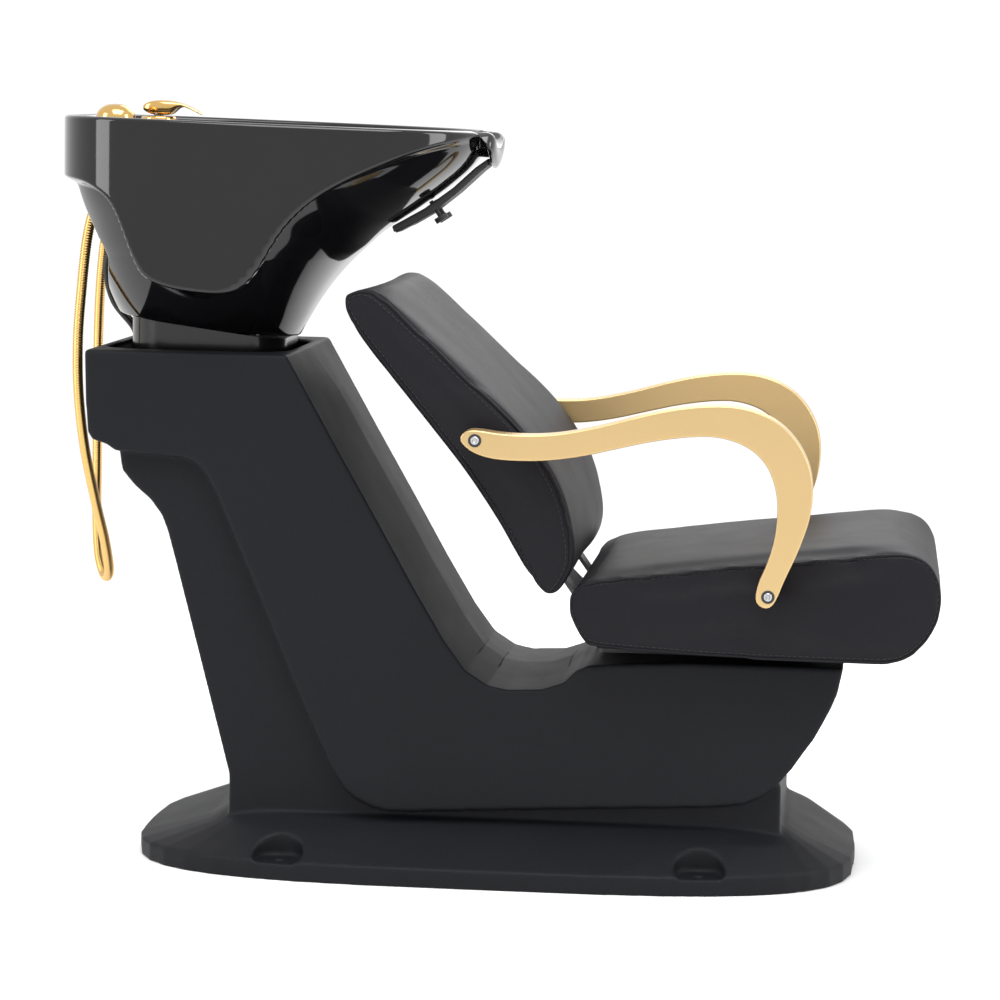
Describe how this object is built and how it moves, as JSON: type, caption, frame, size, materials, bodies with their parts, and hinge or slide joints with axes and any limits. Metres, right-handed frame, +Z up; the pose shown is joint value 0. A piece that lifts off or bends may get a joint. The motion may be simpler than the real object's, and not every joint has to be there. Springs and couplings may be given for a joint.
{
  "type": "shampoo backwash unit",
  "caption": "Salon backwash unit: moulded pedestal with floor flange, tilting black basin with mixer and hand shower, padded seat and back joined by swept gold arms",
  "frame": {"origin": "on the floor at the centre of the base flange", "axes": "+Z up, +X towards the front of the seat, +Y to the sitter's left"},
  "size_m": [1.2182, 0.5928, 1.0205],
  "materials": {
    "body_plastic": "satin",
    "leatherette": "satin",
    "gold_satin": "satin",
    "gold_polished": "polished",
    "glazed_black": "polished",
    "gloss_black": "gloss",
    "gel_black": "gloss",
    "rubber_black": "matte",
    "steel_painted": "satin",
    "steel": "satin",
    "plywood": "matte",
    "nylon": "satin",
    "marker_red": "gloss",
    "hose_black": "satin",
    "chrome": "polished"
  },
  "bodies": {
    "base": {"body_shell": "body_plastic", "access_panel": "body_plastic", "access_screws": "steel", "support_frame": "steel_painted", "tilt_pins": "steel", "seat_bracket": "steel_painted", "seat_bracket_bolts": "steel", "seat_board": "plywood", "seat_board_screws": "steel", "seat_arm_blocks": "plywood", "seat_cushion": "leatherette", "back_brackets": "steel_painted", "back_board": "plywood", "back_arm_blocks": "plywood", "back_cushion": "leatherette", "arm_right": "gold_satin", "arm_left": "gold_satin", "arm_spacers": "steel", "arm_washers": "rubber_black", "arm_bolts": "steel"},
    "bowl": {"bowl": "glazed_black", "bowl_collar": "gloss_black", "bowl_gasket": "rubber_black", "tilt_yoke": "steel_painted", "tilt_bushes": "nylon", "bowl_bolts": "steel", "collar_screws": "steel", "drain_body": "chrome", "drain_nut": "nylon", "drain_tailpiece": "chrome", "slip_nut": "nylon", "waste_hose": "hose_black", "mixer_body": "gold_polished", "mixer_gasket": "rubber_black", "mixer_nut": "steel", "mixer_marker": "marker_red", "handset_sleeve": "gold_polished", "shower_hose": "gold_polished", "hose_elbow": "gold_polished", "supply_hose_hot": "hose_black", "supply_hose_cold": "hose_black", "neck_knobs": "rubber_black"},
    "strainer": {"strainer": "chrome"},
    "cartridge": {"mixer_cartridge": "nylon"},
    "lever": {"mixer_lever": "gold_polished", "lever_pin": "steel"},
    "handset": {"handset": "gold_polished"},
    "neck_rest": {"neck_rest": "gel_black", "neck_carrier": "rubber_black"}
  },
  "joints": [
    {"name": "bowl_tilt", "type": "hinge", "parent": "base", "child": "bowl", "pos_m": [-0.393, 0, 0.64], "axis": [0, 1, 0], "range_deg": [-8, 2], "deforming": ["waste_hose", "supply_hose_hot", "supply_hose_cold", "shower_hose"]},
    {"name": "lever_turn", "type": "hinge", "parent": "bowl", "child": "cartridge", "pos_m": [-0.484, 0.028, 0.985], "axis": [0, 0, 1], "range_deg": [-45, 45]},
    {"name": "lever_lift", "type": "hinge", "parent": "cartridge", "child": "lever", "pos_m": [-0.484, 0.028, 1.0025], "axis": [0, 1, 0], "range_deg": [-18, 0]},
    {"name": "handset_pull", "type": "slide", "parent": "bowl", "child": "handset", "axis": [0, 0, 1], "range_m": [0, 0.1], "deforming": ["shower_hose"]},
    {"name": "neck_adjust", "type": "slide", "parent": "bowl", "child": "neck_rest", "axis": [0.8351, 0, 0.5501], "range_m": [0, 0.026]},
    {"name": "strainer_lift", "type": "slide", "parent": "bowl", "child": "strainer", "axis": [0, 0, 1], "range_m": [0, 0.06]}
  ]
}
